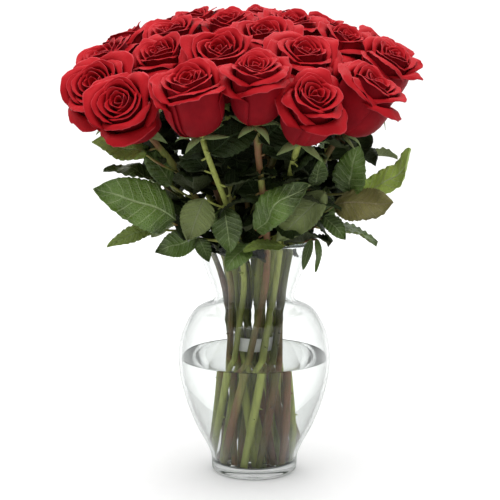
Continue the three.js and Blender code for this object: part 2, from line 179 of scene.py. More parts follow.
# Pairs of leaflets on the stems at the sides and back, set low and high by turns
SPRAY_STEMS = (12, 11, 10, 9, 8, 7, 6)
SPRAY_FROM = (0.36, 0.62)
SPRAY_STALK = 26
SPRAY_LENGTH = 54
SPRAY_WIDTH = 31
SPRAY_SPLAY = 0.62
SPRAY_LIFT = (-0.3, 0.12)
SPRAY_LEAN = 0.3
SPRAY_ARCH = 0.1

# Leaves inside the bunch: where they start along the bend, their lengths and stalks, their width
# as a share of the length, and how far out and how low their tips may reach
INNER_SHARES = (0.3, 0.37, 0.44, 0.51, 0.58, 0.65, 0.72, 0.79, 0.86, 0.92)
INNER_LENGTHS = (40, 52)
INNER_STALKS = (6, 10)
INNER_WIDTH = 0.76
INNER_REACH = 118
INNER_LOWEST = 226

# Blade of a leaf: teeth to a side, rows and columns, for full leaves and for inner ones
FULL_BLADE = (15, 60, 8)
INNER_BLADE = (9, 36, 6)
VEIN_PAIRS = 8.0
VEIN_SLANT = 1.5
TOOTH_DEPTH = 0.06
RIB_FOLD = 0.2
RIPPLE = 0.8
RIPPLE_SLANT = 0.19
WARP = 0.24
WARP_STRIDES = (7.3, 3.1, 1.7)
CURL_FROM = 0.62
CURL_LIFT = 0.35
CURL_REACH = 0.1

# Stalk of a leaf: sag as a share of its length, and radii along it as shares of its own
STALK_SAG = 0.06
STALK_RADII = (1.25, 1, 1, 1, 0.8)
STALK_SIDES = 7
STALK_RADIUS = 1.0
FRONT_STALK_RADIUS = 1.1

# Stem: steps below and above the waist, the usual length above it, and what is on it
STRAIGHT_STEPS = 15
BEND_STEPS = 22
BEND_LENGTH = 240
STEM_SIDES = 14
KNOTS = 3
THORNS = 7
THORN_RADII = (1.3, 0.1)
THORN_LENGTH = 3.6
THORN_RISE = 1.2
THORN_FALL = 0.25
# Calyx, as heights along the rose from the bloom's base and shares of the stem's radius
CALYX_CUP = ((-9, 0.95), (-6.5, 1.25), (-4, 1.75), (-1.5, 1.8), (1.5, 1.5))
SEPALS = 5
SEPAL_GRID = (4, 14)
# Which of the three barks a stem has, by turns
BARK_TURNS = (2, 1, 0, 1, 0)

# Petals of a bloom, layer by layer from the outside: how many, radius and fold height as shares of
# the bloom's, half width in degrees, radius, turn and tail of the rolled lip in mm, degrees and mm
LAYERS = (
    (3, 0.9, 0.785, 72, 5.6, 108, 3.2),
    (3, 0.8, 0.86, 72, 5.0, 90, 2.7),
    (3, 0.66, 0.91, 74, 4.0, 70, 2.0),
    (3, 0.52, 0.94, 78, 3.1, 52, 1.5),
    (3, 0.37, 0.95, 84, 2.4, 36, 1.0),
    (3, 0.24, 0.945, 98, 1.9, 24, 0.7),
    (2, 0.12, 0.93, 140, 1.3, 14, 0.5),
)
# Blooms that are less open than their neighbours, by number, and by how much
CLOSED = {1: 0.86, 5: 0.88}
# From which radius petals are outer ones, as a share of the bloom's, and how loosely outer and
# inner ones lie, how far their sides drop and how much their edges ruffle
OUTER_FROM = 0.7
OUTER_PETAL = (1.0, 8.5, 0.95)
INNER_PETAL = (0.45, 4.0, 0.4)
# Some petals of the outermost layer droop: how many, and how much lower and longer they are
DROOP_CHANCE = 0.45
DROOP = (0.86, 1.9)
# Most that a petal's sides differ in height, in mm, and that it turns from its place, in degrees
PETAL_TILT = 4.2
PETAL_TURN = 14
# Rolled lip: the share that it loses at the sides, and what it gains in the middle, in mm
LIP_TAPER = 0.42
LIP_POINT = 3.0
# One side of a petal lies further out by a share, and both sides flare, in mm
OVERLAP = 0.06
SIDE_FLARE = 2.0
# Buckles of a petal and crinkles of its edge: their size in mm and how close they lie
BUCKLES = (2.3, 0.055)
CRINKLES = (0.6, 0.2)
# The petals' noise starts from the time of day without a seed of its own
PETAL_SEED = 27
PETAL_COLUMNS = 18
PETAL_ROWS = 16
CUP_ROWS = 7

GLASS_IOR = 1.47
WATER_IOR = 1.333
# Share of a lamp's light that glass and water let through, and how little inner leaves shine
LAMP_THROUGH = (0.64, 0.66, 0.65)
INNER_SHINE = 0.2

# ---- table, lamps and camera, in metres and degrees ----

TABLE_REACH = 20.0
TABLE_GAP = 0.0003
LAMP_SIZE = 0.9
# Each lamp's place, what it looks at and its share of the power
LAMPS = {
    "main lamp": ((-0.3, -0.6, 1.9), (0, 0, 0.3), 1),
    "back lamp": ((0.2, 0.9, 1.7), (0, 0, 0.4), 0.7),
}
CAMERA_PLACE = (-0.0042, -1.6, 0.518)
CAMERA_DROP = 10.6
SENSOR_WIDTH = 36


class Rose:
    """Where one rose is: its bloom's base, direction, radius and turn, and the line of its stem."""

    def __init__(self, index, crown, look):
        self.index = index
        self.name = f"{index + 1:02d}"
        self.crown = Vector(crown)
        self.along = (Vector(look) if look else self.crown - FOCUS).normalized()
        self.base = self.crown - self.along * BLOOM_HEIGHT
        self.turn = math.radians(GOLDEN_TURN * index)
        self.draw = random.Random(ROSE_SEED + index)

    def set_line(self, radius, place, twist):
        """Stands the stem on its ring, straight up to the waist and then bent to the bloom."""
        angle = math.radians(place + SWAY * math.sin(self.turn))
        lean = radius * twist * (1 + UNEVEN * math.cos(self.turn))
        out = Vector((math.cos(angle), math.sin(angle), 0)) * radius
        way = Vector((-math.sin(angle) * lean, math.cos(angle) * lean, 1))
        self.foot = out + UP * BAND_HEIGHT + way * (STEM_FOOT - BAND_HEIGHT)
        self.waist = out + UP * BAND_HEIGHT + way * (WAIST_HEIGHT - BAND_HEIGHT)
        lower = self.waist + way.normalized() * LOWER_PULL
        self.pulls = (self.waist, lower, self.base - self.along * UPPER_PULL, self.base)

    def bend(self, t):
        """Point of the bend at share t."""
        a, b, c, d = self.pulls
        s = 1 - t
        return a * s ** 3 + b * (3 * s * s * t) + c * (3 * s * t * t) + d * t ** 3

    def to_world(self, point):
        """Point of the bloom's own frame, in the frame of the whole."""
        turned = Quaternion(UP, self.turn) @ point
        return UP.rotation_difference(self.along) @ turned + self.base


def lay_roses():
    """All roses with their radii and stem lines, as the solids have them."""
    roses = [Rose(index, crown, look) for index, (crown, look) in enumerate(CROWNS)]
    middles = [rose.crown - rose.along * BLOOM_MIDDLE for rose in roses]
    for rose, middle in zip(roses, middles):
        nearest = min((other - middle).length for other in middles if other is not middle)
        rose.radius = min(WIDEST_BLOOM, ROOM * nearest)
    spots = [(radius, first + 360 * i / count, twist)
             for radius, first, count, twist in STEM_RINGS for i in range(count)]
    for rose, spot in zip(roses, spots):
        rose.set_line(*spot)
    return roses


def ease(x, low, high):
    """0 below low and 1 above high, smooth between them."""
    t = min(max((x - low) / (high - low), 0), 1)
    return t * t * (3 - 2 * t)


def fine_outline(outline):
    """The outline with a smooth curve through its points."""
    last = len(outline) - 1
    fine = []
    for i in range(last):
        p0, p1, p2, p3 = (Vector(outline[min(max(i + k, 0), last)]) for k in (-1, 0, 1, 2))
        for step in range(OUTLINE_STEPS):
            t = step / OUTLINE_STEPS
            fine.append(0.5 * (2 * p1 + (p2 - p0) * t + (2 * p0 - 5 * p1 + 4 * p2 - p3) * t ** 2
                               + (3 * p1 - p0 - 3 * p2 + p3) * t ** 3))
    return [*fine, Vector(outline[-1])]


def inset(outline, distance):
    """The outline moved inward by a distance, square to itself."""
    last = len(outline) - 1
    moved = []
    for i, point in enumerate(outline):
        along = (outline[min(i + 1, last)] - outline[max(i - 1, 0)]).normalized()
        moved.append(point + Vector((along.y, -along.x)) * distance)
    return moved


# ---- meshes ----

def sheet(bm, columns, rows, place, skin=0):
    """Adds a grid whose points go where place(u, v) says, in mm.

    u runs from -1 to 1 across the grid and v from 0 to 1 along it.
    """
    bm.loops.layers.uv.verify()
    made = bmesh.ops.create_grid(bm, x_segments=columns, y_segments=rows, size=1.0, calc_uvs=True)
    faces = {face for vert in made["verts"] for face in vert.link_faces}
    for face in faces:
        face.material_index = skin
        face.smooth = True
    for vert in made["verts"]:
        vert.co = place(vert.co.x, (vert.co.y + 1) / 2) * MM
    return made["verts"]


def tube(bm, centres, radii, sides):
    """Adds a closed tube through centres with those radii, closed to a point at each end."""
    last = len(centres) - 1
    turns = []
    for i in range(len(centres)):
        way = centres[min(i + 1, last)] - centres[max(i - 1, 0)]
        turns.append(UP.rotation_difference(way.normalized()))

    def place(u, v):
        row = round(v * (last + 2)) - 1
        i = min(max(row, 0), last)
        radius = radii[i] if row == i else 0
        angle = math.pi * u
        return centres[i] + turns[i] @ Vector((math.cos(angle), math.sin(angle), 0)) * radius

    verts = sheet(bm, sides, last + 2, place)
    bmesh.ops.remove_doubles(bm, verts=verts, dist=MERGE_DISTANCE)


def spun(bm, profile, steps, closed=False):
    """Adds a profile of (height, radius) points turned round the Z axis."""
    verts = [bm.verts.new((radius * MM, 0, height * MM)) for height, radius in profile]
    ends = [*verts[1:], verts[0]] if closed else verts[1:]
    edges = [bm.edges.new(pair) for pair in zip(verts, ends)]
    bmesh.ops.spin(bm, geom=[*verts, *edges], cent=(0, 0, 0), axis=UP, angle=2 * math.pi,
                   steps=steps, use_merge=True)
    bmesh.ops.remove_doubles(bm, verts=bm.verts[:], dist=MERGE_DISTANCE)
    bmesh.ops.recalc_face_normals(bm, faces=bm.faces[:])
    for face in bm.faces:
        face.smooth = True


def put(name, data):
    """Puts a mesh, a lamp or a camera into the scene."""
    made = bpy.data.objects.new(name, data)
    bpy.context.scene.collection.objects.link(made)
    return made


def put_mesh(name, bm, finishes):
    """Puts a bmesh with its finishes into the scene."""
    mesh = bpy.data.meshes.new(name)
    bm.to_mesh(mesh)
    bm.free()
    for finish in finishes:
        mesh.materials.append(finish)
    return put(name, mesh)


def piece(name, bm, finishes, slot, *nodes):
    """Makes a piece of a bmesh, which rides on the root and stands for CAD nodes."""
    made = put_mesh(name, bm, finishes)
    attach(made, "root")
    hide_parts(*nodes)
    return made


def thicken(made, thickness):
    """Gives open sheets their thickness below, with the next finish on the lower side."""
    wall = made.modifiers.new("thickness", "SOLIDIFY")
    wall.thickness = thickness * MM
    wall.offset = -1
    wall.material_offset = 1
    wall.material_offset_rim = 0


# ---- finishes ----

class Wire:
    """A socket of a finish. Arithmetic on it adds the nodes that do the sum."""

    def __init__(self, finish, socket):
        self.finish = finish
        self.socket = socket

    def sum(self, operation, *terms):
        inputs = dict(enumerate(terms))
        return self.finish.node("ShaderNodeMath", {"operation": operation}, inputs)[0]

    def __add__(self, other):
        return self.sum("ADD", self, other)

    def __radd__(self, other):
        return self.sum("ADD", other, self)

    def __sub__(self, other):
        return self.sum("SUBTRACT", self, other)

    def __rsub__(self, other):
        return self.sum("SUBTRACT", other, self)

    def __mul__(self, other):
        return self.sum("MULTIPLY", self, other)

    def __rmul__(self, other):
        return self.sum("MULTIPLY", other, self)

    def __pow__(self, other):
        return self.sum("POWER", self, other)

    def __rpow__(self, other):
        return self.sum("POWER", other, self)

    def __abs__(self):
        return self.sum("ABSOLUTE", self)

    def fraction(self):
        return self.sum("FRACT", self)

    def ease(self, low, high):
        """0 below low and 1 above high, smooth between them."""
        settings = {"interpolation_type": "SMOOTHSTEP"}
        return self.finish.node("ShaderNodeMapRange", settings,
                                {"Value": self, "From Min": low, "From Max": high})["Result"]


class Tree:
    """A node tree, of a finish or of the air."""

    def __init__(self, owner):
        owner.use_nodes = True
        self.tree = owner.node_tree

    def node(self, kind, settings=None, inputs=None):
        """Adds a node and returns its outputs, by name or number, as wires."""
        made = self.tree.nodes.new(kind)
        for key, value in (settings or {}).items():
            setattr(made, key, value)
        for key, value in (inputs or {}).items():
            self.join(value, made.inputs[key])
        wires = {output.name: Wire(self, output)
                 for output in reversed(made.outputs) if output.enabled}
        wires.update({i: Wire(self, output) for i, output in enumerate(made.outputs)})
        return wires

    def join(self, value, socket):
        if isinstance(value, Wire):
            self.tree.links.new(value.socket, socket)
        else:
            socket.default_value = value


class Finish(Tree):
    """One material: a Principled shader and the nodes in front of it."""

    def __init__(self, name, **constants):
        self.material = bpy.data.materials.new(name)
        super().__init__(self.material)
        self.shader = self.tree.nodes["Principled BSDF"]
        self.output = self.tree.nodes["Material Output"]
        for socket, value in constants.items():
            self.shader.inputs[socket.replace("_", " ")].default_value = value

    def set(self, **links):
        """Feeds sockets of the Principled shader."""
        for socket, value in links.items():
            self.join(value, self.shader.inputs[socket.replace("_", " ")])

    def principled(self):
        """What the Principled shader gives."""
        return Wire(self, self.shader.outputs[0])

    def show(self, shader):
        """Shows a shader in place of the Principled one."""
        self.join(shader, self.output.inputs["Surface"])

    def place(self, scale=(1, 1, 1)):
        """Object coordinates, stretched by a scale."""
        at = self.node("ShaderNodeTexCoord")["Object"]
        return self.node("ShaderNodeMapping", None, {"Vector": at, "Scale": scale})["Vector"]

    def uv(self):
        """The two numbers of the piece's own UV map."""
        at = self.node("ShaderNodeUVMap")["UV"]
        split = self.node("ShaderNodeSeparateXYZ", None, {"Vector": at})
        return split["X"], split["Y"]

    def plane(self, x, y):
        """A vector of two numbers, for a pattern on a UV map."""
        return self.node("ShaderNodeCombineXYZ", None, {"X": x, "Y": y, "Z": 0.0})["Vector"]

    def speckle(self, vector, scale, detail=2.0, rough=0.5):
        """Smooth noise from 0 to 1."""
        inputs = {"Vector": vector, "Scale": scale, "Detail": detail, "Roughness": rough}
        return self.node("ShaderNodeTexNoise", None, inputs)["Fac"]

    def blend(self, amount, first, second):
        """Mixes two colours."""
        inputs = {0: amount, 6: first, 7: second}
        return self.node("ShaderNodeMix", {"data_type": "RGBA"}, inputs)[2]

    def mix(self, amount, first, second):
        """Mixes two shaders."""
        return self.node("ShaderNodeMixShader", None, {0: amount, 1: first, 2: second})["Shader"]

    def relief(self, height, distance, strength):
        """A normal from a height."""
        inputs = {"Height": height, "Distance": distance, "Strength": strength}
        return self.node("ShaderNodeBump", None, inputs)["Normal"]


def rgb(colour, share=1.0):
    """A colour with an alpha of 1, made darker or lighter by a share."""
    return (*(channel * share for channel in colour[:3]), 1.0)


def petal_finish(name, colour, deep, rim):
    """Velvety petal: deep between its veins, with painted shade towards its root and a painted
    highlight along its very edge.
    """
    made = Finish(name, Roughness=0.55, Sheen_Weight=0.05, Sheen_Roughness=0.35,
                  Sheen_Tint=rgb((1.0, 0.2, 0.25)), Specular_IOR_Level=0.07)
    across, along = made.uv()
    patches = made.speckle(made.place(), 38.0, 3.0)
    veins = made.speckle(made.plane(across * 46.0, along * 2.6), 1.0, 3.0, 0.6)
    body = made.blend(patches.ease(0.3, 0.75), rgb(deep), rgb(colour))
    body = made.blend(veins.ease(0.35, 0.8) * 0.3, body, rgb(deep))
    # Painted shade: darker towards the petal's root, deep inside the bloom
    body = made.blend((1.0 - along.ease(0.0, 0.42)) * 0.25, body, rgb(deep, 0.45))
    # Painted highlight: the pale rim colour along the petal's very edge, where thin edges catch the
    # light
    edge = along.ease(0.95, 0.99)
    body = made.blend(edge * 0.45, body, rgb(rim))
    made.set(Base_Color=body, Normal=made.relief(veins, 0.0006, 0.35))
    return made.material


def leaf_finish(name, colour, deep, vein, gloss, shine=0.5):
    """Rose leaf: side veins from the rib to the teeth, a fine net between them, and a dull wax."""
    made = Finish(name, Roughness=gloss, Specular_IOR_Level=shine)
    across, along = made.uv()
    side = abs(across - 0.5) * 2.0
    rib = 1.0 - side.ease(0.012, 0.07)
    step = (along * VEIN_PAIRS - side * VEIN_SLANT).fraction()
    line = 1.0 - abs(step - 0.5).ease(0.0, 0.09)
    veins = line * (1.0 - side.ease(0.72, 1.0)) * 0.75
    both = rib.sum("MAXIMUM", rib, veins)
    net = made.node("ShaderNodeTexVoronoi", {"feature": "DISTANCE_TO_EDGE"},
                    {"Vector": made.plane(across * 9.0, along * 17.0), "Scale": 1.6})["Distance"]
    cells = net.ease(0.0, 0.18)
    patches = made.speckle(made.place(), 26.0, 3.0)
    body = made.blend(patches.ease(0.36, 0.64), rgb(deep), rgb(colour))
    body = made.blend((1.0 - cells) * 0.25, body, rgb(vein, 0.7))
    body = made.blend(both * 0.8, body, rgb(vein))
    height = cells * 0.45 - both * 0.9 - abs(step - 0.5) * 1.6
    made.set(Base_Color=body, Roughness=gloss + patches * 0.12,
             Normal=made.relief(height, 0.0009, 0.8))
    return made.material


def stem_finish(name, green, brown, blush):
    """Stem: green, with more or less red-brown in patches, long fine fibres, and painted shade on
    its stretch from just above the water up to the vase's waist.
    """
    made = Finish(name, Specular_IOR_Level=0.28)
    fibres = made.speckle(made.place((420.0, 420.0, 18.0)), 1.0, 3.0, 0.6)
    patches = made.speckle(made.place((34.0, 34.0, 7.0)), 1.0, 2.0)
    spots = made.speckle(made.place(), 900.0, 1.0)
    body = made.blend(patches.ease(0.62 - blush, 0.82 - blush), rgb(green), rgb(brown))
    body = made.blend(fibres.ease(0.42, 0.72) * 0.55, body, rgb(green, 0.4))
    body = made.blend(spots.ease(0.66, 0.74) * 0.4, body, rgb((0.35, 0.3, 0.12)))
    # Painted shade: the stems are darker from just above the water up to the vase's waist, standing
    # for the shade that the leaves and the glass's refraction give there
    height = made.node("ShaderNodeSeparateXYZ", None, {"Vector": made.place()})["Z"]
    middle = height.ease(0.106, 0.12) * (1.0 - height.ease(0.165, 0.19))
    body = made.blend(middle * 0.62, body, rgb(green, 0.16))
    made.set(Base_Color=body, Roughness=0.38 + fibres * 0.25,
             Normal=made.relief(fibres, 0.0004, 0.4))
    return made.material


def clear_finish(name, colour, ior, edge, painted_edge_share, shine):
    """Clear glass or water that lets lamps through, with painted dark edges where it is seen along
    its skin, standing in for dark reflections.
    """
    made = Finish(name, Base_Color=rgb(colour), Roughness=0.0, IOR=ior, Transmission_Weight=1.0,
                  Specular_Tint=rgb((shine, shine, shine)))
    # Painted reflection: a dark see-through shader mixed in at grazing angles, for the dark edges
    # that glass and water show
    rim = made.node("ShaderNodeLayerWeight", None, {"Blend": 0.25})["Facing"]
    dark = made.node("ShaderNodeBsdfTransparent", None, {"Color": rgb(edge)})["BSDF"]
    tinted = made.mix((rim ** 2.0) * painted_edge_share, made.principled(), dark)
    ray = made.node("ShaderNodeLightPath")["Is Shadow Ray"]
    through = made.node("ShaderNodeBsdfTransparent", None, {"Color": rgb(LAMP_THROUGH)})["BSDF"]
    made.show(made.mix(ray, tinted, through))
    return made.material


def band_finish(colour):
    """See-through plastic with fine ribs round it."""
    made = Finish("pale band", Roughness=0.45, Alpha=0.8)
    ribs = made.speckle(made.place((60.0, 60.0, 900.0)), 1.0, 2.0)
    made.set(Base_Color=made.blend(ribs, rgb(colour), rgb(colour, 0.8)),
             Normal=made.relief(ribs, 0.0003, 0.5))
    return made.material


def table_finish(colour, bounce):
    """Pale and finely grained, and it sends up less light than it shows."""
    made = Finish("pale table", Roughness=0.7, Specular_IOR_Level=0.2)
    grain = made.speckle(made.place(), 60.0)
    made.set(Base_Color=made.blend(grain, rgb(colour), rgb(colour, 0.98)))
    ray = made.node("ShaderNodeLightPath")["Is Diffuse Ray"]
    dull = made.node("ShaderNodeBsdfDiffuse", None, {"Color": rgb(colour, bounce)})["BSDF"]
    made.show(made.mix(ray, made.principled(), dull))
    return made.material


# ---- sizes and colours that a user would change ----

def colour_prop(name, description, default):
    return FloatVectorProperty(name=name, description=description, default=default, size=3,
                               subtype="COLOR", min=0.0, max=1.0)


def number_prop(name, description, default, **more):
    more.setdefault("min", 0.0)
    return FloatProperty(name=name, description=description, default=default, **more)


def length_prop(name, description, default_mm):
    return number_prop(name, description, default_mm * MM, unit="LENGTH", precision=4)


class VaseSettings(bpy.types.PropertyGroup):
    wall: length_prop("Wall", "Thickness of the vase's wall", 3.0)
    water_level: length_prop("Water level", "Height of the water above the table", 114.0)
    sides: IntProperty(name="Sides", description="Steps round the vase", default=128, min=24)
    glass: colour_prop("Glass", "Tint of the clear glass", (0.95, 0.966, 0.957))
    water: colour_prop("Water", "Tint of the water", (0.985, 0.992, 0.988))
    band: colour_prop("Band", "Colour of the band round the stems", (0.93, 0.94, 0.9))


class BloomSettings(bpy.types.PropertyGroup):
    thickness: length_prop("Petal thickness", "Thickness of each petal", 0.45)
    petal: colour_prop("Petal", "Velvety inner side of the petals", (0.455, 0.009, 0.015))
    petal_deep: colour_prop("Petal shade", "Deeper patches of the inner side", (0.38, 0.006, 0.011))
    back: colour_prop("Petal back", "Outer side of the petals", (0.375, 0.008, 0.015))
    back_deep: colour_prop("Petal back shade", "Deeper patches of the outer side",
                           (0.24, 0.005, 0.011))
    # The petal rim colour is a painted highlight, for the light that thin petal edges catch
    rim: colour_prop("Petal rim", "Thin pale edge of the petals", (0.72, 0.09, 0.11))


class GreensSettings(bpy.types.PropertyGroup):
    leaf_thickness: length_prop("Leaf thickness", "Thickness of leaves and sepals", 0.4)
    stem_radius: length_prop("Stem radius", "Radius of the stems", 3.2)
    leaf: colour_prop("Leaf", "Upper side of the older leaves", (0.118, 0.215, 0.025))
    young: colour_prop("Young leaf", "Upper side of the fresh leaves", (0.34, 0.47, 0.08))
    olive: colour_prop("Olive leaf", "Leaves that show their dull side", (0.215, 0.2, 0.052))
    under: colour_prop("Leaf underside", "Lower side of the leaves", (0.23, 0.29, 0.09))
    sepal: colour_prop("Sepal", "Sepals under the blooms", (0.4, 0.54, 0.2))
    stem: colour_prop("Stem", "Green of the stems", (0.29, 0.325, 0.08))
    bark: colour_prop("Stem blush", "Red-brown of the stems", (0.285, 0.135, 0.066))


class StageSettings(bpy.types.PropertyGroup):
    lens: number_prop("Lens", "Focal length", 121.4, unit="CAMERA", min=1.0)
    table: colour_prop("Table", "Pale table under the vase", (0.86, 0.86, 0.86))
    bounce: number_prop("Bounce", "Share of the light that the table sends up", 0.5, max=1.0)
    lamp: number_prop("Lamp", "Power of the soft main lamp", 10.0, unit="POWER")
    air: number_prop("Air", "Light from all round", 0.47)
    overhead: number_prop("Overhead", "Further light from above", 0.84)
    behind: number_prop("Behind", "Further light from behind", 0.4)


SETTINGS = {"vase_settings": VaseSettings, "bloom_settings": BloomSettings,
            "greens_settings": GreensSettings, "stage_settings": StageSettings}


# ---- vase and water ----

def inner_profile(distance, bottom, top):
    """Profile of the vase's inside, kept a distance from its outside, from the axis to the top."""
    rise, reach = FLOOR_CORNER
    wall = [p for p in inset(fine_outline(VASE_OUTLINE), distance) if bottom + rise < p.x < top]
    start = wall[0].y
    corner = [(bottom + rise * (1 - math.cos(a)), start - reach * (1 - math.sin(a)))
              for a in (0, math.pi / 8, math.pi / 4, 3 * math.pi / 8)]
    return [(bottom, 0), (bottom, start * 0.5), *corner, *wall]


def middle_of(face):
    """Height and radius of a face's middle, in mm."""
    middle = face.calc_center_median() / MM
    return middle.z, math.hypot(middle.x, middle.y)


def glass_skin(face):
    """Finish of a face of the vase: 0 on the wall, 1 with painted dark lines at the foot's edges
    and 2 in the foot, with a deeper tint and painted dark edges.
    """
    height, radius = middle_of(face)
    at_edge = height < FOOT_EDGE or FLOOR_EDGE[0] < height < FLOOR_EDGE[1]
    if at_edge and EDGE_RADII[0] < radius < EDGE_RADII[1]:
        return 1
    return 2 if height < FOOT_TOP else 0


class ROSES_OT_vase(bpy.types.Operator):
    """Spin the glass vase with its thick foot"""
    bl_idname = "roses.vase"
    bl_label = "Vase"

    def execute(self, context):
        settings = context.scene.vase_settings
        outside = fine_outline(VASE_OUTLINE)
        rim_height, rim_radius = outside[-1]
        lip = [(rim_height + rise, rim_radius - depth) for rise, depth in LIP_PROFILE]
        inside = inner_profile(settings.wall / MM, VASE_FLOOR, rim_height - LIP_HEIGHT)
        bm = bmesh.new()
        spun(bm, [*FOOT_PROFILE, *outside[FOOT_POINTS:-1], *lip, *reversed(inside)], settings.sides)
        for face in bm.faces:
            face.material_index = glass_skin(face)
        # The edge colours and shares below are painted dark reflections along the skins
        wall = clear_finish("clear glass", settings.glass, GLASS_IOR,
                            edge=(0.46, 0.52, 0.49), painted_edge_share=0.75, shine=0.35)
        # Foot line: painted dark lines for reflections at the foot's edges. Foot glass: a deeper
        # tint for the thick glass, with painted dark edges for the dark strokes refracted in it
        line = clear_finish("foot line", rgb(settings.glass, 0.4), GLASS_IOR,
                            edge=(0.1, 0.13, 0.1), painted_edge_share=1.0, shine=0.35)
        foot = clear_finish("foot glass", rgb(settings.glass, 0.9), GLASS_IOR,
                            edge=(0.3, 0.36, 0.31), painted_edge_share=1.0, shine=0.4)
        piece("glass_vase", bm, [wall, line, foot], "vase_glass", "vase")
        return {"FINISHED"}


class ROSES_OT_water(bpy.types.Operator):
    """Fill the vase with water, which climbs a little where it meets the glass"""
    bl_idname = "roses.water"
    bl_label = "Water"

    def execute(self, context):
        settings = context.scene.vase_settings
        level = settings.water_level / MM
        skin = inner_profile(settings.wall / MM + WATER_GAP, VASE_FLOOR + WATER_GAP, level)
        shore = skin[-1][1]
        top = [(level + rise, shore - depth) for rise, depth in WATER_EDGE]
        bm = bmesh.new()
        spun(bm, [*skin, *top, (level, shore * 0.5), (level, 0)], settings.sides)
        for face in bm.faces:
            height, radius = middle_of(face)
            # Painted shade: a thin ring of the water's top along the glass takes the dark water
            # line finish
            at_line = height > level - WATER_LINE_DEPTH and radius > shore - WATER_LINE_WIDTH
            face.material_index = int(at_line)
        water = clear_finish("still water", settings.water, WATER_IOR,
                             edge=(0.6, 0.66, 0.64), painted_edge_share=0.25, shine=0.3)
        # Water line: a painted dark ring, standing for the dark line that the meniscus shows
        line = clear_finish("water line", rgb(settings.water, 0.45), WATER_IOR,
                            edge=(0.12, 0.14, 0.12), painted_edge_share=1.0, shine=0.3)
        piece("vase_water", bm, [water, line], "water", "water")
        return {"FINISHED"}


class ROSES_OT_band(bpy.types.Operator):
    """Spin the band that ties the inner stems together"""
    bl_idname = "roses.band"
    bl_label = "Stem band"

    def execute(self, context):
        low, high = BAND_SPAN
        bottom, top = low + BAND_ROUNDING, high - BAND_ROUNDING
        middle, outer = BAND_INNER + BAND_WALL / 2, BAND_INNER + BAND_WALL
        profile = [(bottom, BAND_INNER), (low, middle), (bottom, outer),
                   (top, outer), (high, middle), (top, BAND_INNER)]
        bm = bmesh.new()
        spun(bm, profile, BAND_SIDES, closed=True)
        finish = band_finish(context.scene.vase_settings.band)
        piece("stem_tie", bm, [finish], "band_plastic", "stem_band")
        return {"FINISHED"}


# ---- blooms ----

def petal(bm, rose, layer, turn, openness):
    """One petal: a cup that rises from the middle, folds outward and ends in a rolled lip."""
    _, radius, height, width, curl, over, tail = layer
    draw = rose.draw
    loose, drop, ruffle = OUTER_PETAL if radius > OUTER_FROM else INNER_PETAL
    droops = layer is LAYERS[0] and draw.random() < DROOP_CHANCE
    lower, longer = DROOP if droops else (1, 1)
    radius *= rose.radius * draw.uniform(0.95, 1.05) * CLOSED.get(rose.index, 1)
    height *= BLOOM_HEIGHT * (1 + loose * draw.uniform(-0.08, 0.03)) * lower
    curl *= draw.uniform(0.6, 1.15)
    over = math.radians(over) * openness * draw.uniform(0.85, 1.1)
    tail *= draw.uniform(0.7, 1.5) * longer
    tilt = loose * draw.uniform(-PETAL_TILT, PETAL_TILT)
    drop *= draw.uniform(0.7, 1.3)
    ruffle *= draw.uniform(0.4, 1.3)
    waves = draw.uniform(0.9, 2.6)
    phase = draw.uniform(0, 6.28)
    turn += math.radians(draw.uniform(-PETAL_TURN, PETAL_TURN))
    half = math.radians(width)
    seed = Vector((draw.uniform(0, 90), draw.uniform(0, 90), draw.uniform(0, 90)))
    cup = CUP_ROWS / PETAL_ROWS
    buckle, buckle_scale = BUCKLES
    crinkle, crinkle_scale = CRINKLES

    def place(u, v):
        side = abs(u)
        fold = height - drop * side ** 1.8 + tilt * u
        if v <= cup:
            c = v / cup * math.pi / 2
            r = radius * (math.sin(c) ** 0.8 + 0.1 * math.sin(2 * c))
            z = fold * (1 - math.cos(c))
            spread = half * (0.72 + 0.28 * math.sin(c))
        else:
            share = (v - cup) / (1 - cup)
            lip = (over * curl + tail) * (1 - LIP_TAPER * side ** 2.4)
            run = share * (lip + LIP_POINT * loose * (1 - side) ** 2)
            bent = min(run / curl, over)
            straight = max(run - curl * over, 0)
            r = radius + curl * (1 - math.cos(bent)) + straight * math.sin(bent)
            z = fold + curl * math.sin(bent) + straight * math.cos(bent)
            spread = half * radius / r * (1 - 0.16 * share ** 2)
        edge = ease(v, 0.5, 1.0)
        r *= 1 + OVERLAP * u
        r += edge * ruffle * math.sin(waves * math.pi * u + phase)
        r += loose * SIDE_FLARE * ease(side, 0.76, 1.0) * ease(v, 0.25, 0.6)
        z += edge * ruffle * 0.7 * math.cos(waves * 1.3 * math.pi * u + phase)
        angle = turn + u * spread
        point = Vector((r * math.cos(angle), r * math.sin(angle), z))
        rising = ease(v, 0.15, 0.6)
        point += noise.noise_vector(point * buckle_scale + seed) * (buckle * loose * rising)
        crinkled = (crinkle + crinkle * loose) * edge
        point += noise.noise_vector(point * crinkle_scale + seed) * crinkled
        return rose.to_world(point)

    sheet(bm, PETAL_COLUMNS, PETAL_ROWS, place)


class ROSES_OT_blooms(bpy.types.Operator):
    """Model the rose heads, petal by petal, from the outer layer to the folded heart"""
    bl_idname = "roses.blooms"
    bl_label = "Rose heads"

    def execute(self, context):
        settings = context.scene.bloom_settings
        noise.seed_set(PETAL_SEED)
        back = petal_finish("petal back", settings.back, settings.back_deep, settings.rim)
        face = petal_finish("petal face", settings.petal, settings.petal_deep, settings.rim)
        for rose in lay_roses():
            bm = bmesh.new()
            openness = rose.draw.uniform(0.86, 1.1)
            start = 0.0
            for layer in LAYERS:
                count = layer[0]
                for number in range(count):
                    petal(bm, rose, layer, start + 2 * math.pi * number / count, openness)
                start += math.radians(GOLDEN_TURN)
            made = piece(f"rose_head_{rose.name}", bm, [back, face], "petals", f"bloom_{rose.name}")
            thicken(made, settings.thickness / MM)
        return {"FINISHED"}


# ---- stems and leaves ----

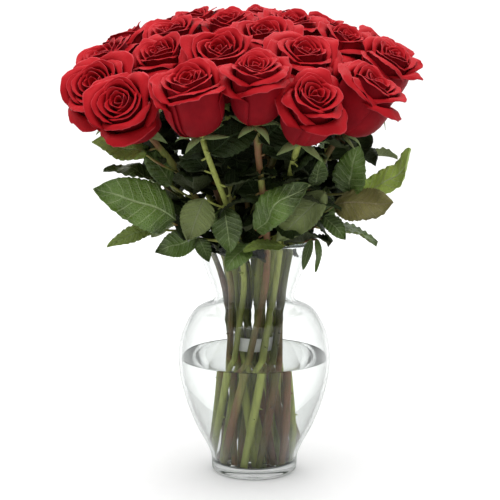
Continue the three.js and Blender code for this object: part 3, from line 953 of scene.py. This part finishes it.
def blade(bm, base, tip, width, face, arch, skin, seed, curl=0.0, grid=FULL_BLADE):
    """One leaf blade with saw teeth, folded along its rib and arched along its length."""
    teeth, rows, columns = grid
    base, tip = Vector(base), Vector(tip)
    along = tip - base
    length = along.length
    along.normalize()
    up = Vector(face)
    up = (up - along * up.dot(along)).normalized()
    across = along.cross(up)
    spot = Vector([seed * stride for stride in WARP_STRIDES])

    def place(u, v):
        side = abs(u)
        half = width / 2 * math.sin(math.pi * v ** 0.78) ** 0.74
        tooth = (v * teeth) % 1.0
        half *= 1 - TOOTH_DEPTH * ease(side, 0.7, 1.0) * (1 - tooth) * ease(v, 0.04, 0.14)
        ripple = RIPPLE * math.sin(VEIN_PAIRS * 2 * math.pi * (v - RIPPLE_SLANT * side))
        lift = arch * length * math.sin(math.pi * v) + RIB_FOLD * side * half
        lift += ripple * side * ease(half, 2, 9)
        lift += noise.noise(spot + Vector((u * 0.9, v * 2.6, 0))) * width * WARP
        point = base + along * (v * length) + across * (u * half) + up * lift
        bend = ease(v, CURL_FROM, 1.0) * curl * length
        return point + (up * (bend * CURL_LIFT) + along * (bend * CURL_REACH))

    sheet(bm, columns, rows, place, skin)


def sprays(rose):
    """Pair of leaflets on a stem at the side or back, as (start, base, tip, width, face, arch)."""
    if rose.index not in SPRAY_STEMS:
        return []
    turn = SPRAY_STEMS.index(rose.index)
    start = rose.bend(SPRAY_FROM[turn % 2])
    out = Vector((start.x, start.y, 0)).normalized()
    aside = Vector((-out.y, out.x, 0))
    face = (out.x * SPRAY_LEAN, out.y * SPRAY_LEAN, 1)
    leaves = []
    for side in (-1, 1):
        way = out + aside * (side * SPRAY_SPLAY)
        way.z = SPRAY_LIFT[turn % 2]
        way.normalize()
        base = start + way * SPRAY_STALK
        leaves.append((start, base, base + way * SPRAY_LENGTH, SPRAY_WIDTH, face, SPRAY_ARCH))
    return leaves


def inner_leaves(rose):
    """Leaves inside the bunch that close the view between the stems, in the form of sprays."""
    draw = random.Random(INNER_SEED + rose.index)
    leaves = []
    for share in INNER_SHARES:
        start = rose.bend(share + draw.uniform(-0.04, 0.04))
        out = Vector((start.x, start.y, 0)).normalized()
        turn = Quaternion(UP, draw.uniform(-2.0, 2.0))
        way = (turn @ out + UP * draw.uniform(-0.9, 0.5)).normalized()
        length = draw.uniform(*INNER_LENGTHS)
        base = start + way * draw.uniform(*INNER_STALKS)
        reach = Vector((base.x, base.y, 0)) + Vector((way.x, way.y, 0)) * length
        if reach.length > INNER_REACH or base.z + way.z * length < INNER_LOWEST:
            way = (way - out * 1.2 + UP * 0.5).normalized()
        face = (turn @ out) * draw.uniform(0.2, 1.6) + UP * 0.7
        arch = draw.uniform(0.02, 0.14)
        leaves.append((start, base, base + way * length, length * INNER_WIDTH, face, arch))
    return leaves


def stalk(bm, start, base, radius):
    """A leaf's stalk, bent a little, from inside its stem to just inside the blade."""
    middle = (start + base) / 2 - UP * (base - start).length * STALK_SAG
    points = [start * (1 - t) ** 2 + middle * (2 * t * (1 - t)) + base * t ** 2
              for t in (0, 0.25, 0.5, 0.75, 1)]
    tube(bm, points, [radius * share for share in STALK_RADII], STALK_SIDES)


def thorn(bm, draw, centres, radii):
    """A thorn somewhere on the stem, which points out and a little down."""
    i = int(draw.uniform(2, len(centres) - 12))
    way = centres[i + 1] - centres[i]
    side = Quaternion(way.normalized(), draw.uniform(0, 6.28)) @ way.orthogonal().normalized()
    out = (side - way.normalized() * THORN_FALL).normalized()
    middle = centres[i] + out * (radii[i] + THORN_RISE)
    turned = UP.rotation_difference(out).to_matrix().to_4x4()
    bmesh.ops.create_cone(bm, cap_ends=True, segments=6, radius1=THORN_RADII[0] * MM,
                          radius2=THORN_RADII[1] * MM, depth=THORN_LENGTH * MM,
                          matrix=Matrix.Translation(middle * MM) @ turned)


def stem_tube(bm, rose, radius):
    """The stem from its foot in the water to the neck, with knots and thorns, and its calyx."""
    draw = rose.draw
    knots = [draw.uniform(0.1, 0.9) for _ in range(KNOTS)]
    centres = [rose.foot.lerp(rose.waist, i / STRAIGHT_STEPS) for i in range(STRAIGHT_STEPS)]
    neck = 1 - CALYX_HEIGHT / BEND_LENGTH
    centres += [rose.bend(neck * i / BEND_STEPS) for i in range(BEND_STEPS + 1)]
    radii = []
    for i in range(len(centres)):
        share = i / (len(centres) - 1)
        swell = sum(math.exp(-((share - knot) * 38) ** 2) for knot in knots)
        radii.append(radius * (1.06 - 0.14 * share + 0.16 * swell))
    centres += [rose.base + rose.along * height for height, _ in CALYX_CUP]
    radii += [radius * share for _, share in CALYX_CUP]
    tube(bm, centres, radii, STEM_SIDES)
    for _ in range(THORNS):
        thorn(bm, draw, centres, radii)


def sepals(bm, rose, skin):
    """Five narrow leafy tips that hang from under the bloom."""
    draw = random.Random(SEPAL_SEED + rose.index)
    for number in range(SEPALS):
        angle = 2 * math.pi * (number + 0.5) / SEPALS + draw.uniform(-0.25, 0.25)
        length = draw.uniform(22, 30)
        fall = draw.uniform(0.2, 1.5)
        hook = draw.uniform(-0.9, 0.6)
        broad = draw.uniform(4.0, 5.6)
        cos, sin = math.cos(angle), math.sin(angle)

        def place(u, v):
            bent = fall * v + hook * v * v
            half = broad * (1 - v) ** 0.65 * (0.62 + 0.9 * v * (1 - v) * 2)
            x, y = 3.6 + length * (v - 0.12 * bent * v), u * half
            z = -2.0 + 3.2 * math.sin(v * 2.2) - length * 0.42 * bent * v
            sag = 0.9 * abs(u) * half * 0.5
            return rose.to_world(Vector((x * cos - y * sin, x * sin + y * cos, z - sag)))

        sheet(bm, *SEPAL_GRID, place, skin)


class ROSES_OT_stems(bpy.types.Operator):
    """Model the stems with their knots, thorns, calyxes and leaf stalks"""
    bl_idname = "roses.stems"
    bl_label = "Stems"

    def execute(self, context):
        settings = context.scene.greens_settings
        green, brown = settings.stem, settings.bark
        barks = [stem_finish("green stem", rgb(green, 1.5), brown, blush=0.02),
                 stem_finish("blushed stem", green, brown, blush=0.26),
                 stem_finish("dark stem", rgb(green, 0.5), rgb(brown, 0.6), blush=0.16)]
        for rose in lay_roses():
            bm = bmesh.new()
            stem_tube(bm, rose, settings.stem_radius / MM * rose.draw.uniform(0.84, 1.02))
            for stem, share, base, *_ in FRONT_LEAVES:
                if stem == rose.index:
                    stalk(bm, rose.bend(share), Vector(base), FRONT_STALK_RADIUS)
            for start, base, *_ in [*sprays(rose), *inner_leaves(rose)]:
                stalk(bm, start, base, STALK_RADIUS)
            for face in bm.faces:
                face.smooth = True
            bark = barks[BARK_TURNS[rose.index % len(BARK_TURNS)]]
            piece(f"rose_stem_{rose.name}", bm, [bark], "greenery", f"stem_{rose.name}")
        return {"FINISHED"}


def leaf_pairs(settings):
    """Finishes of the upper and the lower side, look by look."""
    leaf, young, olive, under, sepal = (
        settings.leaf, settings.young, settings.olive, settings.under, settings.sepal)
    below = leaf_finish("leaf underside", under, rgb(under, 0.7), (0.24, 0.28, 0.14), 0.6)
    return {
        "deep": (leaf_finish("leaf", leaf, rgb(leaf, 0.38), (0.38, 0.48, 0.22), 0.27), below),
        "fresh": (
            leaf_finish("young leaf", young, rgb(young, 0.6), (0.25, 0.34, 0.12), 0.42), below),
        "olive": (
            leaf_finish("olive leaf", olive, rgb(olive, 0.6), (0.24, 0.24, 0.1), 0.5),
            leaf_finish("olive underside", olive, rgb(olive, 0.6), (0.3, 0.26, 0.14), 0.5)),
        "sepal": (
            leaf_finish("sepal", sepal, rgb(sepal, 0.55), (0.5, 0.58, 0.36), 0.55),
            leaf_finish("sepal underside", sepal, rgb(sepal, 0.7), (0.42, 0.55, 0.22), 0.6)),
        # Inner leaves: painted shade, far darker copies of the leaf colours, standing for the deep
        # shade inside the bunch
        "inner": (
            leaf_finish("inner leaf", rgb(leaf, 0.16), rgb(leaf, 0.07), (0.05, 0.08, 0.03),
                        0.5, INNER_SHINE),
            leaf_finish("inner leaf underside", rgb(under, 0.2), rgb(under, 0.11),
                        (0.1, 0.12, 0.06), 0.6, INNER_SHINE)),
        # Pale leaf: painted light, a brighter copy of the young leaf, for the light that shines
        # through and off it
        "pale": (
            leaf_finish("pale leaf", rgb(young, 1.7), rgb(young, 1.2), (0.62, 0.72, 0.4), 0.4),
            leaf_finish("pale leaf underside", rgb(young, 1.5), rgb(young, 1.1),
                        (0.6, 0.7, 0.4), 0.5)),
    }


class ROSES_OT_leaves(bpy.types.Operator):
    """Model the leaves and sepals of each rose"""
    bl_idname = "roses.leaves"
    bl_label = "Leaves and sepals"

    def execute(self, context):
        settings = context.scene.greens_settings
        pairs = leaf_pairs(settings)
        finishes = [finish for pair in pairs.values() for finish in pair]
        skins = {look: 2 * number for number, look in enumerate(pairs)}
        for rose in lay_roses():
            bm = bmesh.new()
            for number, (stem, _, base, tip, width, face, arch, look) in enumerate(FRONT_LEAVES):
                if stem == rose.index:
                    curl = CURLED.get(number, 0)
                    blade(bm, base, tip, width, face, arch, skins[look], number, curl)
            for number, (_, *leaf) in enumerate(sprays(rose)):
                blade(bm, *leaf, skins["deep"], 40 + 2 * rose.index + number)
            for number, (_, *leaf) in enumerate(inner_leaves(rose)):
                seed = 90 + 3 * rose.index + number
                blade(bm, *leaf, skins["inner"], seed, grid=INNER_BLADE)
            sepals(bm, rose, skins["sepal"])
            made = piece(f"rose_leaves_{rose.name}", bm, finishes, "greenery", f"stem_{rose.name}")
            thicken(made, settings.leaf_thickness / MM)
        return {"FINISHED"}


# ---- stage ----

def lay_table(colour, bounce):
    """The table, just under the vase's foot."""
    bm = bmesh.new()
    bmesh.ops.create_grid(bm, x_segments=1, y_segments=1, size=TABLE_REACH)
    bmesh.ops.translate(bm, verts=bm.verts[:], vec=(0, 0, -TABLE_GAP))
    table = put_mesh("table", bm, [table_finish(colour, bounce)])


def set_air(settings):
    """Light from all round, with more from above and from behind."""
    world = bpy.data.worlds.new("soft white air")
    bpy.context.scene.world = world
    air = Tree(world)
    way = air.node("ShaderNodeTexCoord")["Generated"]
    split = air.node("ShaderNodeSeparateXYZ", None, {"Vector": way})
    above = split["Z"].ease(0.1, 0.9) * settings.overhead
    behind = split["Y"].ease(-0.9, 0.5) * settings.behind
    background = air.tree.nodes["Background"]
    air.join(above + behind + settings.air, background.inputs["Strength"])
    air.join(rgb((1, 1, 1)), background.inputs["Color"])


def set_lamp(name, place, aim, power):
    """A soft square lamp that looks at a point."""
    data = bpy.data.lights.new(name, "AREA")
    data.energy = power
    data.size = LAMP_SIZE
    made = put(name, data)
    made.location = place
    made.rotation_euler = (Vector(aim) - Vector(place)).to_track_quat("-Z", "Y").to_euler()


def set_camera(lens):
    """The camera in front, which looks down a little."""
    data = bpy.data.cameras.new("camera")
    data.lens = lens
    data.sensor_width = SENSOR_WIDTH
    camera = put("camera", data)
    camera.location = CAMERA_PLACE
    camera.rotation_euler = (math.radians(90 - CAMERA_DROP), 0, 0)
    bpy.context.scene.camera = camera


class ROSES_OT_stage(bpy.types.Operator):
    """Set the pale table, the soft lamps and the camera"""
    bl_idname = "roses.stage"
    bl_label = "Table, lamps and camera"

    def execute(self, context):
        settings = context.scene.stage_settings
        lay_table(settings.table, settings.bounce)
        set_air(settings)
        for name, (place, aim, share) in LAMPS.items():
            set_lamp(name, place, aim, settings.lamp * share)
        set_camera(settings.lens)
        context.scene.view_settings.view_transform = "Standard"
        return {"FINISHED"}


class ROSES_PT_panel(bpy.types.Panel):
    """Sizes, colours and builders of the roses in a vase"""
    bl_idname = "ROSES_PT_panel"
    bl_label = "Roses in a vase"
    bl_space_type = "VIEW_3D"
    bl_region_type = "UI"
    bl_category = "Roses"

    def draw(self, context):
        for name, group in SETTINGS.items():
            box = self.layout.box()
            for prop in group.__annotations__:
                box.prop(getattr(context.scene, name), prop)
        for operator in OPERATORS:
            self.layout.operator(operator.bl_idname)


OPERATORS = (ROSES_OT_stage, ROSES_OT_vase, ROSES_OT_water, ROSES_OT_band, ROSES_OT_blooms,
             ROSES_OT_stems, ROSES_OT_leaves)
CLASSES = (*SETTINGS.values(), *OPERATORS, ROSES_PT_panel)


def register():
    for cls in CLASSES:
        bpy.utils.register_class(cls)
    for name, group in SETTINGS.items():
        setattr(bpy.types.Scene, name, PointerProperty(type=group))


def unregister():
    for name in SETTINGS:
        delattr(bpy.types.Scene, name)
    for cls in reversed(CLASSES):
        bpy.utils.unregister_class(cls)


def main():
    """Registers the classes and makes every piece."""
    register()
    bpy.ops.roses.stage()
    bpy.ops.roses.vase()
    bpy.ops.roses.water()
    bpy.ops.roses.band()
    bpy.ops.roses.blooms()
    bpy.ops.roses.stems()
    bpy.ops.roses.leaves()


if __name__ == "__main__":
    main()
